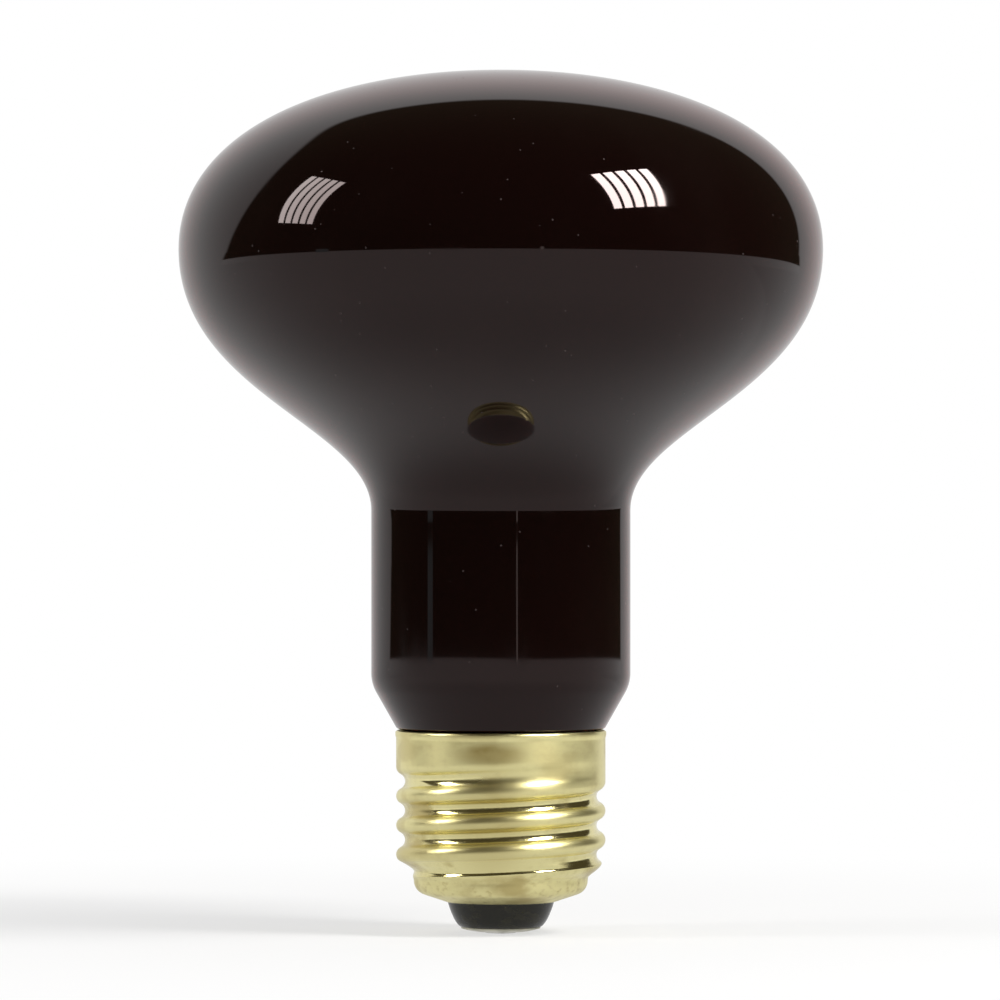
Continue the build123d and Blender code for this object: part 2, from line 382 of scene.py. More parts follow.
def brass_material(sizes):
    """Pale rolled brass: turned rings, a brown film in patches and in the roots, bright crests, and
    painted dark reflections at the front.
    """
    material, wiring, shader = new_material("Rolled brass sheet")
    film = patches(wiring, Scale=150.0, Stretch=(1, 1, 1.6), Start=0.46, End=0.66, Detail=6.0)
    stains = patches(wiring, Scale=1100.0, Stretch=(1, 1, 1.4), Start=0.44, End=0.84, Detail=6.0)
    place = wiring.place()
    spot = wiring.put("ShaderNodeSeparateXYZ", {0: place}).outputs
    flat = wiring.put("ShaderNodeCombineXYZ", {0: spot[0], 1: spot[1]}).outputs[0]
    across = wiring.vector("LENGTH", flat)
    crest, depth = sizes.crest_radius, sizes.thread_depth
    # The crests are rubbed bright, and the bowl under the thread is mottled
    worn = wiring.ease(across, crest - 0.85 * depth, crest - 0.3 * depth)
    bowl = wiring.ease(spot[2], SHELL_LOW.z + 4.5 * MM, SHELL_LOW.z + 2.5 * MM)
    dull = wiring.math("MULTIPLY", film, wiring.between(worn, 0.6, 0.34))
    # Each front mark is a painted dark reflection, which browns the brass and dulls its gloss where
    # it faces the camera
    for below_rim, squeeze, strength in PAINTED_FRONT_REFLECTIONS:
        middle = (-1.3 * MM, -crest, SHELL_HIGH.z - below_rim)
        off_middle = wiring.vector("MULTIPLY", wiring.vector("SUBTRACT", place, middle), squeeze)
        painted_reflection = wiring.ease(wiring.vector("LENGTH", off_middle), 1.9 * MM, 0.5 * MM)
        painted_reflection = wiring.math("MULTIPLY", painted_reflection, wiring.between(film, 0.65, 1.0))
        dull = wiring.math("MAXIMUM", dull, wiring.math("MULTIPLY", painted_reflection, strength))
    stained = wiring.math("MULTIPLY", stains, wiring.between(bowl, 0.15, 0.62))
    dull = wiring.math("MAXIMUM", dull, stained)
    wiring.give(shader["Base Color"], wiring.blend(dull, sizes.brass, sizes.patina_and_dark_reflection))
    shader["Metallic"].default_value = 1.0
    # The turned lines run round the shell, so they spread its gloss up and down
    shader["Anisotropic"].default_value = 0.4
    shader["Anisotropic Rotation"].default_value = 0.25
    round_axis = wiring.put("ShaderNodeTangent", direction_type="RADIAL", axis="Z")
    wiring.give(shader["Tangent"], round_axis.outputs[0])
    clean = wiring.math("MAXIMUM", wiring.between(worn, 0.13, 0.36), wiring.between(bowl, 0.0, 0.4))
    wiring.give(shader["Roughness"], wiring.between(dull, clean, 0.42))
    lines = wiring.clouds(wiring.vector("MULTIPLY", place, (40.0, 40.0, 4200.0)), 1.0, 3.0)
    dents = wiring.clouds(place, 260.0, 2.0)
    height = wiring.math("ADD", dents, wiring.math("MULTIPLY", lines, 0.4))
    wiring.give(shader["Normal"], bump(wiring, height, 0.022 * MM))
    return material


def insulator_material(tip):
    """Poured black glass: semi-gloss, olive in the light, with small pits and scuffs."""
    material, wiring, shader = new_material("Poured black glass")
    scuffs = patches(wiring, Scale=420.0, Stretch=(1, 1, 2.0), Start=0.48, End=0.70, Detail=6.0)
    pits = specks(wiring, Scale=1400.0, Size=0.22, Share=0.2)
    pale = tuple(min(1.0, part * 2.1) for part in tip.black_glass)
    wiring.give(shader["Base Color"], wiring.blend(scuffs, tip.black_glass, pale))
    wiring.give(shader["Roughness"], wiring.between(scuffs, 0.16, 0.42))
    shader["IOR"].default_value = 1.42
    wiring.give(shader["Normal"], bump(wiring, wiring.math("SUBTRACT", scuffs, pits), 0.02 * MM))
    return material


def metal_material(name, main, shade, smooth, rough, scale, grain):
    """A plain cast or drawn metal: cloudy colour and gloss, and a fine uneven surface.

    The clouds darken the colour to its shade and dull the gloss from smooth to rough.
    """
    material, wiring, shader = new_material(name)
    clouds = patches(wiring, Scale=scale, Start=0.40, End=0.68, Detail=6.0)
    dull = tuple(part * shade for part in main)
    wiring.give(shader["Base Color"], wiring.blend(clouds, main, dull))
    shader["Metallic"].default_value = 1.0
    wiring.give(shader["Roughness"], wiring.between(clouds, smooth, rough))
    wiring.give(shader["Normal"], bump(wiring, clouds, grain))
    return material


def cement_material(tip):
    """Baked cement: matt and gritty."""
    material, wiring, shader = new_material("Basing cement")
    grit = patches(wiring, Scale=1500.0, Start=0.35, End=0.7, Detail=8.0)
    dark = tuple(part * 0.5 for part in tip.cement)
    wiring.give(shader["Base Color"], wiring.blend(grit, dark, tip.cement))
    shader["Roughness"].default_value = 0.9
    wiring.give(shader["Normal"], bump(wiring, grit, 0.05 * MM))
    return material


def curve_points(start, lead, trail, end, steps):
    """Points along a Bezier curve, its last point left out."""
    ends = [Vector((*point, 0.0)) for point in (start, lead, trail, end)]
    return [(p.x, p.y) for p in interpolate_bezier(*ends, steps + 1)[:-1]]


def rounded(outline, radii, steps):
    """An open outline with its corners rounded: one radius for each point, 0 for a sharp one."""
    points = []
    for index, (corner, radius) in enumerate(zip(outline, radii)):
        if radius <= 0.0:
            points.append(corner)
            continue
        corner = Vector(corner)
        before = (Vector(outline[index - 1]) - corner).normalized()
        after = (Vector(outline[index + 1]) - corner).normalized()
        half = before.angle(after) / 2
        inward = (before + after).normalized()
        centre = corner + inward * (radius / math.sin(half))
        start = corner + before * (radius / math.tan(half)) - centre
        end = corner + after * (radius / math.tan(half)) - centre
        for step in range(steps + 1):
            spoke = start.lerp(end, step / steps).normalized() * radius
            points.append(tuple(centre + spoke))
    return points


def turned(name, outline, around, wander, closed=False):
    """A lathe-turned mesh from (radius, height) points, as one object.

    Points on the axis become poles. A closed outline goes right round a ring. The surface
    wanders in and out by up to that length, in broad waves and in finer ones.
    """
    bm = bmesh.new()
    rings = []
    for index, (radius, height) in enumerate(outline):
        if radius < 1e-7:
            rings.append([bm.verts.new((0.0, 0.0, height))])
            continue
        ring = []
        for step in range(around):
            angle = 2 * math.pi * step / around
            spot = Vector((math.cos(angle), math.sin(angle), 0.0)) * radius
            spot.z = height
            drift = noise.noise(spot * 38.0) + 0.4 * noise.noise(spot * 95.0)
            spot *= 1.0 + wander * drift / max(spot.length, 1e-6)
            ring.append(bm.verts.new(spot))
        rings.append(ring)
    pairs = list(zip(rings, rings[1:]))
    if closed:
        pairs.append((rings[-1], rings[0]))
    for low, high in pairs:
        if len(low) == 1 and len(high) == 1:
            continue
        for step in range(around):
            following = (step + 1) % around
            corners = [low[step % len(low)], low[following % len(low)]]
            corners += [high[following % len(high)], high[step % len(high)]]
            bm.faces.new(dict.fromkeys(corners))
    bmesh.ops.recalc_face_normals(bm, faces=bm.faces)
    return finished(name, bm)


def finished(name, bm):
    """A smooth-shaded object from a bmesh."""
    mesh = bpy.data.meshes.new(name)
    for face in bm.faces:
        face.smooth = True
    bm.to_mesh(mesh)
    bm.free()
    piece = bpy.data.objects.new(name, mesh)
    bpy.context.scene.collection.objects.link(piece)
    return piece


def settle(piece, node, material=None):
    """Lets a piece stand for a CAD node, ride on the body and take its slot's finish."""
    if material is not None:
        piece.data.materials.clear()
        piece.data.materials.append(material)
    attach(piece, "root")
    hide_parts(node)


# Rows of faces on the dome, the side, the straight neck and each rounded corner, and how far
# above the neck's foot the straight ones end
DOME_ROWS, SIDE_ROWS, NECK_ROWS, CORNER_ROWS = 52, 68, 12, 12
NECK_TURN = 2.2 * MM
# The step of the neck's foot onto the rim: its gap, its slope and its rounding
SEAT_GAP, SEAT_SLOPE, SEAT_CORNER = 0.25 * MM, 0.6 * MM, 0.5 * MM
# The glass inside the cap: its foot under the rim, the flare that the stem is sealed to, and
# the exhaust tube with its pinched tip
SEAL_DEPTH, SEAL_BEVEL = 10.8 * MM, 1.6 * MM
FLARE_RADIUS, FLARE_HEIGHT = 5.5 * MM, 14.0 * MM
TUBE_RADIUS, TUBE_TAPER, TUBE_TIP = 2.0 * MM, 2.0 * MM, 0.8 * MM
# The hole for the centre lead wire, in the insulator and in the contact
EYELET_RADIUS = 1.2 * MM


class SPOTBULB_OT_glass(bpy.types.Operator):
    """Blow the glass envelope: dome, flared side, neck and the foot sealed into the cap"""

    bl_idname = "spotbulb.glass"
    bl_label = "Glass envelope"

    def execute(self, context):
        glass = context.scene.spot_glass
        top = GLASS_HIGH.z
        equator = top - glass.dome_height
        neck_top = equator - glass.side_height
        neck_foot = neck_top - glass.neck_length
        wide, neck = glass.reflector_radius, glass.neck_radius
        seat, seal = glass.seat_radius, glass.seal_radius
        outline = curve_points(
            (0.0, top),
            (glass.crown_reach, top),
            (wide, equator + glass.dome_fullness),
            (wide, equator),
            DOME_ROWS,
        )
        outline += curve_points(
            (wide, equator),
            (wide, equator - glass.side_fullness),
            (neck, neck_top + glass.neck_sweep),
            (neck, neck_top),
            SIDE_ROWS,
        )
        straight = neck_top - neck_foot - NECK_TURN
        outline += [(neck, neck_top - straight * step / NECK_ROWS) for step in range(NECK_ROWS)]
        seat_height = context.scene.spot_shell.rim_height + SEAT_GAP
        corners = [
            (neck, neck_foot + 3 * MM),
            (neck, neck_foot),
            (seat, seat_height),
            (seal, seat_height - SEAT_SLOPE),
        ]
        radii = (0.0, glass.neck_corner, SEAT_CORNER, 0.0)
        outline += rounded(corners, radii, CORNER_ROWS)[1:]
        foot = SHELL_HIGH.z - SEAL_DEPTH
        flare_top = foot + FLARE_HEIGHT
        outline += [
            (seal, foot + SEAL_BEVEL),
            (seal - SEAL_BEVEL, foot),
            (FLARE_RADIUS, foot),
            (FLARE_RADIUS, flare_top),
            (TUBE_RADIUS, flare_top),
            (TUBE_RADIUS, GLASS_LOW.z + TUBE_TAPER),
            (TUBE_TIP, GLASS_LOW.z),
            (0.0, GLASS_LOW.z),
        ]
        piece = turned("blown_envelope", outline, around=200, wander=glass.unevenness)
        settle(piece, "glass_envelope", glass_material(glass))
        return {"FINISHED"}


def shell_tree(material, inputs):
    """Geometry nodes for the screw shell: a turned section with the thread rolled into it.

    Each entry of inputs becomes an input of the tree.
    """
    tree = bpy.data.node_groups.new("Rolled screw shell", "GeometryNodeTree")
    wanted = [
        (name, "NodeSocketInt" if isinstance(value, int) else "NodeSocketFloat", value)
        for name, value in inputs.items()
    ]
    given, result = sockets(tree, wanted, (("Geometry", "NodeSocketGeometry"),))
    wiring = Wiring(tree)
    math_of = wiring.math

    bowl_edge = math_of("ADD", given["Mouth Height"], given["Bowl Rise"])
    wall_top = math_of("ADD", bowl_edge, given["Bowl Wall"])
    shoulder = math_of("ADD", wall_top, given["Shoulder Rise"])
    band_foot = math_of("SUBTRACT", given["Rim Height"], given["Band"])
    proud, lip = 0.1 * MM, 0.15 * MM
    bead_radius = math_of("ADD", given["Crest Radius"], proud)
    # Each corner's radius from the axis, its height and how far it is rounded
    section = (
        (given["Mouth Radius"], given["Mouth Height"], 0.0),
        (given["Bowl Radius"], bowl_edge, given["Bowl Corner"]),
        (given["Bowl Radius"], wall_top, 0.8 * MM),
        (given["Crest Radius"], shoulder, 0.9 * MM),
        (given["Crest Radius"], math_of("SUBTRACT", band_foot, proud), 0.2 * MM),
        (bead_radius, math_of("ADD", band_foot, 0.12 * MM), 0.3 * MM),
        (bead_radius, math_of("SUBTRACT", given["Rim Height"], lip), lip),
        (math_of("SUBTRACT", given["Crest Radius"], lip), given["Rim Height"], 0.0),
    )
    line = wiring.put("GeometryNodeMeshLine", {"Count": len(section)}).outputs[0]
    index = wiring.put("GeometryNodeInputIndex").outputs[0]
    spots = wiring.put("GeometryNodeIndexSwitch", {"Index": index}, data_type="VECTOR")
    turns = wiring.put("GeometryNodeIndexSwitch", {"Index": index}, data_type="FLOAT")
    for switch in (spots, turns):
        while len(switch.index_switch_items) < len(section):
            switch.index_switch_items.new()
    for step, (radius, height, fillet) in enumerate(section):
        spot = wiring.put("ShaderNodeCombineXYZ", {0: radius, 2: height}).outputs[0]
        wiring.give(spots.inputs[step + 1], spot)
        wiring.give(turns.inputs[step + 1], fillet)
    placed = wiring.put("GeometryNodeSetPosition", {"Geometry": line, "Position": spots.outputs[0]})
    curve = wiring.put("GeometryNodeMeshToCurve", {"Mesh": placed.outputs[0]}).outputs[0]
    filleted = wiring.put(
        "GeometryNodeFilletCurve",
        {"Curve": curve, "Radius": turns.outputs[0], "Count": 8, "Limit Radius": True},
        mode="POLY",
    )

    rows = math_of("ADD", given["Along"], 1.0)
    columns = math_of("ADD", given["Around"], 1.0)
    grid = wiring.put(
        "GeometryNodeMeshGrid",
        {"Size X": 1.0, "Size Y": 1.0, "Vertices X": columns, "Vertices Y": rows},
    )
    spread = wiring.put("ShaderNodeSeparateXYZ", {0: grid.outputs["UV Map"]}).outputs
    sampled = wiring.put(
        "GeometryNodeSampleCurve",
        {"Curves": filleted.outputs[0], "Factor": spread[1]},
        mode="FACTOR",
        use_all_curves=True,
    )
    section_spot = wiring.put("ShaderNodeSeparateXYZ", {0: sampled.outputs["Position"]}).outputs
    radius, height = section_spot[0], section_spot[2]

    # Two arcs of equal radius make the thread: one over the crest, one in the root
    half = math_of("DIVIDE", given["Thread Pitch"], 2.0)
    lead = math_of("MULTIPLY", spread[0], given["Thread Pitch"])
    phase = math_of("SUBTRACT", math_of("SUBTRACT", height, given["Crest Height"]), lead)
    wrapped = math_of("FLOORED_MODULO", math_of("ADD", phase, half), given["Thread Pitch"])
    off_crest = math_of("ABSOLUTE", math_of("SUBTRACT", wrapped, half))
    reach = math_of("MINIMUM", off_crest, math_of("SUBTRACT", half, off_crest))
    depth = given["Thread Depth"]
    arc = math_of(
        "DIVIDE",
        math_of("ADD", math_of("POWER", half, 2.0), math_of("POWER", depth, 2.0)),
        math_of("MULTIPLY", depth, 4.0),
    )
    chord = math_of("SUBTRACT", math_of("POWER", arc, 2.0), math_of("POWER", reach, 2.0))
    fall = math_of("SUBTRACT", arc, math_of("SQRT", chord))
    in_root = math_of("GREATER_THAN", off_crest, math_of("DIVIDE", half, 2.0))
    drop = wiring.between(in_root, fall, math_of("SUBTRACT", depth, fall))

    # The thread fades out over the shoulder, and each root ends where the skirt begins
    fade_foot = math_of("SUBTRACT", wall_top, 0.2 * MM)
    fade_in = wiring.ease(height, fade_foot, math_of("ADD", wall_top, 1.1 * MM))
    full_turns = math_of("FLOOR", math_of("DIVIDE", phase, given["Thread Pitch"]))
    root_height = math_of(
        "ADD",
        math_of("ADD", given["Crest Height"], half),
        math_of("ADD", lead, math_of("MULTIPLY", full_turns, given["Thread Pitch"])),
    )
    skirt_foot = math_of("SUBTRACT", given["Rim Height"], given["Skirt"])
    run_out_foot = math_of("SUBTRACT", skirt_foot, given["Run-out"])
    fade_out = wiring.ease(root_height, skirt_foot, run_out_foot)
    rolled = math_of("MULTIPLY", drop, math_of("MULTIPLY", fade_in, fade_out))
    radius = math_of("SUBTRACT", radius, rolled)

    angle = math_of("MULTIPLY", spread[0], 2 * math.pi)
    east = math_of("MULTIPLY", radius, math_of("COSINE", angle))
    north = math_of("MULTIPLY", radius, math_of("SINE", angle))
    spot = wiring.put("ShaderNodeCombineXYZ", {0: east, 1: north, 2: height}).outputs[0]
    inputs = {"Geometry": grid.outputs[0], "Position": spot}
    rolled_up = wiring.put("GeometryNodeSetPosition", inputs)
    inputs = {"Geometry": rolled_up.outputs[0], "Distance": 0.002 * MM}
    joined = wiring.put("GeometryNodeMergeByDistance", inputs)
    smooth = wiring.put("GeometryNodeSetShadeSmooth", {"Geometry": joined.outputs[0]})
    real = wiring.put("GeometryNodeRealizeInstances", {"Geometry": smooth.outputs[0]})
    dressed = wiring.put(
        "GeometryNodeSetMaterial", {"Geometry": real.outputs[0], "Material": material}
    )
    wiring.give(result["Geometry"], dressed.outputs[0])
    return tree


class SPOTBULB_OT_shell(bpy.types.Operator):
    """Roll the brass screw shell: bowl, thread with its run-out, skirt and beaded rim"""

    bl_idname = "spotbulb.shell"
    bl_label = "Screw shell"

    def execute(self, context):
        shell = context.scene.spot_shell
        inputs = {
            "Mouth Height": SHELL_LOW.z,
            "Mouth Radius": shell.mouth_radius,
            "Bowl Rise": shell.bowl_rise,
            "Bowl Radius": shell.bowl_radius,
            "Bowl Wall": shell.bowl_wall,
            "Bowl Corner": shell.bowl_corner,
            "Shoulder Rise": shell.shoulder_rise,
            "Crest Radius": shell.crest_radius,
            "Rim Height": shell.rim_height,
            "Band": shell.band,
            "Thread Pitch": shell.thread_pitch,
            "Thread Depth": shell.thread_depth,
            "Crest Height": shell.crest_height,
            "Run-out": shell.run_out,
            "Skirt": shell.skirt,
            "Around": shell.around,
            "Along": shell.along,
        }
        tree = shell_tree(brass_material(shell), inputs)
        blank = bpy.data.objects.new("rolling_blank", bpy.data.meshes.new("rolling_blank"))
        context.scene.collection.objects.link(blank)
        nodes = blank.modifiers.new("Rolled screw shell", "NODES")
        nodes.node_group = tree
        for socket in tree.interface.items_tree:
            if socket.in_out == "INPUT":
                nodes[socket.identifier] = inputs[socket.name]
        wall = blank.modifiers.new("Sheet", "SOLIDIFY")
        wall.thickness = shell.sheet
        wall.offset = -1.0
        context.view_layer.update()
        evaluated = blank.evaluated_get(context.evaluated_depsgraph_get())
        mesh = bpy.data.meshes.new_from_object(evaluated)
        if len(mesh.polygons) < shell.around * shell.along:
            raise RuntimeError("the screw shell came out empty")
        blank.modifiers.clear()
        bpy.data.objects.remove(blank)
        piece = bpy.data.objects.new("rolled_screw_shell", mesh)
        context.scene.collection.objects.link(piece)
        settle(piece, "screw_shell")
        return {"FINISHED"}


class SPOTBULB_OT_insulator(bpy.types.Operator):
    """Pour the black glass insulator into the bowl"""

    bl_idname = "spotbulb.insulator"
    bl_label = "Insulator"

    def execute(self, context):
        tip, shell = context.scene.spot_tip, context.scene.spot_shell
        mouth = SHELL_LOW.z
        foot = CONTACT_HIGH.z - 0.05 * MM
        barrel, edge = tip.barrel_radius, tip.foot_radius
        outline = curve_points(
            (edge, foot),
            (edge + 0.72 * MM, foot + 0.6 * MM),
            (barrel - 0.35 * MM, mouth - 1.1 * MM),
            (barrel, mouth),
            24,
        )
        bowl = shell.bowl_radius - shell.sheet
        loop = [
            *outline,
            (barrel, mouth),
            (shell.mouth_radius, mouth + 0.02 * MM),
            (shell.mouth_radius, mouth + shell.sheet),
            (bowl - 1.3 * MM, mouth + 0.85 * shell.bowl_rise),
            (bowl - 0.1 * MM, mouth + shell.bowl_rise + 0.95 * MM),
            (bowl - 0.1 * MM, INSULATOR_HIGH.z),
            (EYELET_RADIUS, INSULATOR_HIGH.z),
            (EYELET_RADIUS, INSULATOR_LOW.z + 0.02 * MM),
            (0.7 * edge, 0.6 * INSULATOR_LOW.z + 0.4 * foot),
            (edge - 0.4 * MM, foot + 0.06 * MM),
            (edge - 0.2 * MM, foot),
        ]
        piece = turned("poured_insulator", loop, around=160, wander=0.02 * MM, closed=True)
        settle(piece, "base_insulator", insulator_material(tip))
        return {"FINISHED"}


class SPOTBULB_OT_contact(bpy.types.Operator):
    """Press the tinned centre contact"""

    bl_idname = "spotbulb.contact"
    bl_label = "Centre contact"

    def execute(self, context):
        tip = context.scene.spot_tip
        radius, sheet = tip.contact_radius, tip.contact_sheet
        low, rise = CONTACT_LOW.z, CONTACT_HIGH.z - sheet - CONTACT_LOW.z
        steps = 24
        under = []
        for step in range(steps + 1):
            across = EYELET_RADIUS + (radius - EYELET_RADIUS) * step / steps
            under.append((across, low + rise * (across / radius) ** 3))
        edge = [
            (radius + 0.03 * MM, under[-1][1] + 0.1 * MM),
            (radius, under[-1][1] + sheet - 0.06 * MM),
        ]
        over = [(across - 0.04 * MM, height + sheet) for across, height in reversed(under)]
        loop = under + edge + over
        piece = turned("pressed_contact", loop, around=128, wander=0.012 * MM, closed=True)
        tin = metal_material(
            "Tinned sheet",
            tip.tin,
            shade=0.72,
            smooth=0.3,
            rough=0.5,
            scale=500.0,
            grain=0.012 * MM,
        )
        settle(piece, "centre_contact", tin)
        return {"FINISHED"}


def solder_drop(name, centre, radii, lumps, floor_height):
    """A set drop of solder: a squashed ball with soft lumps, flat where it was rubbed down."""
    bm = bmesh.new()
    bmesh.ops.create_icosphere(bm, subdivisions=5, radius=1.0)
    for vert in bm.verts:
        swell = 1.0 + lumps * noise.noise(vert.co * 1.7 + Vector(centre) * 300.0)
        swell += 0.4 * lumps * noise.noise(vert.co * 4.3)
        vert.co = Vector(centre) + Vector(
            [part * swell * radius for part, radius in zip(vert.co, radii)]
        )
        vert.co.z = max(vert.co.z, floor_height)
    bmesh.ops.recalc_face_normals(bm, faces=bm.faces)
    return finished(name, bm)


class SPOTBULB_OT_solder(bpy.types.Operator):
    """Drop the solder on the contact and on the back of the skirt"""

    bl_idname = "spotbulb.solder"
    bl_label = "Solder"

    def execute(self, context):
        tip = context.scene.spot_tip
        solder = metal_material(
            "Set solder",
            tip.solder,
            shade=0.6,
            smooth=0.22,
            rough=0.48,
            scale=900.0,
            grain=0.02 * MM,
        )
        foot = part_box("centre_solder")[0].z
        middle = (0.0, 0.0, 0.2 * MM)
        radii = (tip.solder_radius, tip.solder_radius, 0.235 * MM)
        drop = solder_drop("centre_solder_drop", middle, radii, lumps=0.08, floor_height=foot)
        settle(drop, "centre_solder", solder)
        low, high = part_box("side_solder")
        centre = ((low.x + high.x) / 2, low.y + 0.05 * MM, (low.z + high.z) / 2)
        radii = ((high.x - low.x) / 2, high.y - low.y - 0.05 * MM, (high.z - low.z) / 2)
        blob = solder_drop("side_solder_drop", centre, radii, lumps=0.10, floor_height=low.z)
        settle(blob, "side_solder", solder)
        return {"FINISHED"}


class SPOTBULB_OT_inside(bpy.types.Operator):
    """Finish the cement and the lead wires inside the cap"""

    bl_idname = "spotbulb.inside"
    bl_label = "Cement and wires"

    def execute(self, context):
        tip = context.scene.spot_tip
        cement = cement_material(tip)
        wire = metal_material(
            "Plated lead wire",
            tip.wire,
            shade=0.6,
            smooth=0.25,
            rough=0.45,
            scale=1200.0,
            grain=0.004 * MM,
        )
        for node, material in (
            ("base_cement", cement),
            ("centre_lead_wire", wire),
            ("side_lead_wire", wire),
        ):
            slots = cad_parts[node].data.materials
            slots.clear()
            slots.append(material)
        return {"FINISHED"}


# How much of its own width each strip of a panel fills, and the point that the panels face
STRIP_FILL = 0.72
AIMED_AT = Vector((0.0, 0.0, 0.06))
# The pale walls that gloss sees: how each is squashed, which way it stands and how wide it is,
# then how softly they meet and how soft their edge is
WALL_BEHIND = ((1.0, 1.0, 1.17), (-0.070, 0.998, 0.0), math.radians(51.0))
WALL_BESIDE = ((1.0, 1.0, 1.0), (-0.617, 0.741, 0.266), math.radians(30.5))
WALL_CORNER, WALL_EDGE = 0.16, (-0.012, 0.022)
# Where the walls are looked at from, for the picture of them that gloss sees on the floor
WALLS_SEEN_FROM = (0.0, 0.0, 0.07)
# Distances on the floor: where its near tone, a painted shadow of the bulb, turns to the far one,
# where it ends in the dark room, and where it fades to white for the camera
FLOOR_TURN, FLOOR_END, FLOOR_FADE = (0.02, 0.16), (1.25, 1.15), (0.03, 0.20)
# The right, left and back edges of the pale paper behind the bulb, each fading out
PAPER_RIGHT, PAPER_LEFT, PAPER_BACK = (0.62, 0.58), (-0.80, -0.70), (0.58, 0.50)


def card(name, centre, size, lean, strips, glow, tone, mirrored):
    """A panel of slanted glowing strips, which either gloss alone or all but gloss sees.

    The lean is how far each strip slants sideways for its height.
    """
    bm = bmesh.new()
    width, height = size
    low, high = -height / 2, height / 2
    each = width / strips
    for strip in range(strips):
        left = -width / 2 + each * strip
        right = left + each * STRIP_FILL
        corners = ((left, low), (right, low), (right, high), (left, high))
        bm.faces.new([bm.verts.new((x + lean * y, y, 0.0)) for x, y in corners])
    panel = finished(name, bm)
    aim = (AIMED_AT - centre).to_track_quat("Z", "Y")
    panel.data.transform(Matrix.Translation(centre) @ aim.to_matrix().to_4x4())
    material = bpy.data.materials.new(name)
    material.use_nodes = True
    material.node_tree.nodes.clear()
    wiring = Wiring(material.node_tree)
    light = wiring.put("ShaderNodeEmission", {"Color": (*tone, 1.0), "Strength": glow})
    wiring.put("ShaderNodeOutputMaterial", {"Surface": light.outputs[0]})
    panel.data.materials.append(material)
    panel.visible_camera = False
    panel.visible_glossy = mirrored
    panel.visible_diffuse = panel.visible_shadow = not mirrored


def direction(azimuth, elevation, distance):
    """A place seen from the bulb: azimuth from the front towards +X, both in degrees."""
    a, e = math.radians(azimuth), math.radians(elevation)
    return Vector((math.sin(a) * math.cos(e), -math.cos(a) * math.cos(e), math.sin(e))) * distance


def backdrop_share(wiring, toward):
    """Where the pale walls stand, seen from the bulb: a wide one behind it and one to its left."""

    def within(squash, axis, spread):
        unit = wiring.vector("NORMALIZE", wiring.vector("MULTIPLY", toward, squash))
        facing = wiring.vector("DOT_PRODUCT", unit, axis)
        past = wiring.math("SUBTRACT", facing, math.cos(spread))
        return wiring.math("DIVIDE", past, math.sin(spread))

    behind, beside = within(*WALL_BEHIND), within(*WALL_BESIDE)
    return wiring.ease(wiring.math("SMOOTH_MAX", behind, beside, WALL_CORNER), *WALL_EDGE)


def mirrored_ray(wiring, rays):
    """1 where metal or glass shows what the ray finds."""
    return wiring.math("MAXIMUM", rays["Is Glossy Ray"], rays["Is Transmission Ray"])


def studio_world():
    """White to the camera, pale walls and a dark room to gloss, and even light to the rest."""
    world = bpy.data.worlds.new("Studio")
    bpy.context.scene.world = world
    world.use_nodes = True
    world.node_tree.nodes.clear()
    wiring = Wiring(world.node_tree)
    toward = wiring.put("ShaderNodeTexCoord").outputs["Generated"]
    seen = wiring.blend(backdrop_share(wiring, toward), ROOM, BACKDROP)
    rays = wiring.put("ShaderNodeLightPath").outputs
    unseen = wiring.blend(mirrored_ray(wiring, rays), FILL, seen)
    shown = wiring.blend(rays["Is Camera Ray"], unseen, WHITE)
    sky = wiring.put("ShaderNodeBackground", {"Color": shown, "Strength": 1.0})
    wiring.put("ShaderNodeOutputWorld", {"Surface": sky.outputs[0]})


def floor_material(studio):
    """A pale floor that fades to white for the camera, and shows a plain studio to gloss."""
    material, wiring, shader = new_material("Pale floor")
    mist = patches(wiring, Scale=3.0, Start=0.3, End=0.7, Detail=2.0)
    misty = tuple(part * 0.98 for part in studio.floor)
    wiring.give(shader["Base Color"], wiring.blend(mist, studio.floor, misty))
    shader["Roughness"].default_value = 0.8
    nodes = material.node_tree.nodes
    plain = next(node for node in nodes if node.type == "BSDF_PRINCIPLED").outputs[0]
    output = next(node for node in nodes if node.type == "OUTPUT_MATERIAL")
    rays = wiring.put("ShaderNodeLightPath").outputs
    place = wiring.place()
    spot = wiring.put("ShaderNodeSeparateXYZ", {0: place}).outputs
    away = wiring.vector("LENGTH", place)

    # To gloss, the floor is darker near the bulb as a painted shadow of it, ends in the dark room,
    # and turns into the pale paper behind the bulb, whose front edge is sharper on the right than
    # on the left
    near = wiring.blend(wiring.ease(away, *FLOOR_TURN), SHADED_NEAR_FLOOR, FAR_FLOOR)
    front = wiring.blend(wiring.ease(away, *FLOOR_END), ROOM, near)
    walls = backdrop_share(wiring, wiring.vector("SUBTRACT", place, WALLS_SEEN_FROM))
    right, left = wiring.ease(spot[0], *PAPER_RIGHT), wiring.ease(spot[0], *PAPER_LEFT)
    paper = wiring.math("MULTIPLY", right, left)
    paper = wiring.math("MULTIPLY", paper, wiring.ease(spot[1], *PAPER_BACK))
    aside = wiring.ease(spot[0], 0.02, -0.12)
    start, end = wiring.between(aside, 0.080, -0.05), wiring.between(aside, 0.095, 0.20)
    pale = wiring.math("MAXIMUM", paper, walls)
    backdrop = wiring.math("MULTIPLY", wiring.ease(spot[1], start, end), pale)
    seen = wiring.blend(backdrop, front, BACKDROP)

    def mixed(share, first, second):
        return wiring.put("ShaderNodeMixShader", {0: share, 1: first, 2: second}).outputs[0]

    white = wiring.put("ShaderNodeEmission", {"Color": (*WHITE, 1.0)}).outputs[0]
    studio_seen = wiring.put("ShaderNodeEmission", {"Color": seen}).outputs[0]
    faded = wiring.between(wiring.ease(away, *FLOOR_FADE), 0.58, 1.0)
    to_camera = mixed(rays["Is Camera Ray"], plain, mixed(faded, plain, white))
    surface = mixed(mirrored_ray(wiring, rays), to_camera, studio_seen)
    wiring.give(output.inputs["Surface"], surface)
    return material


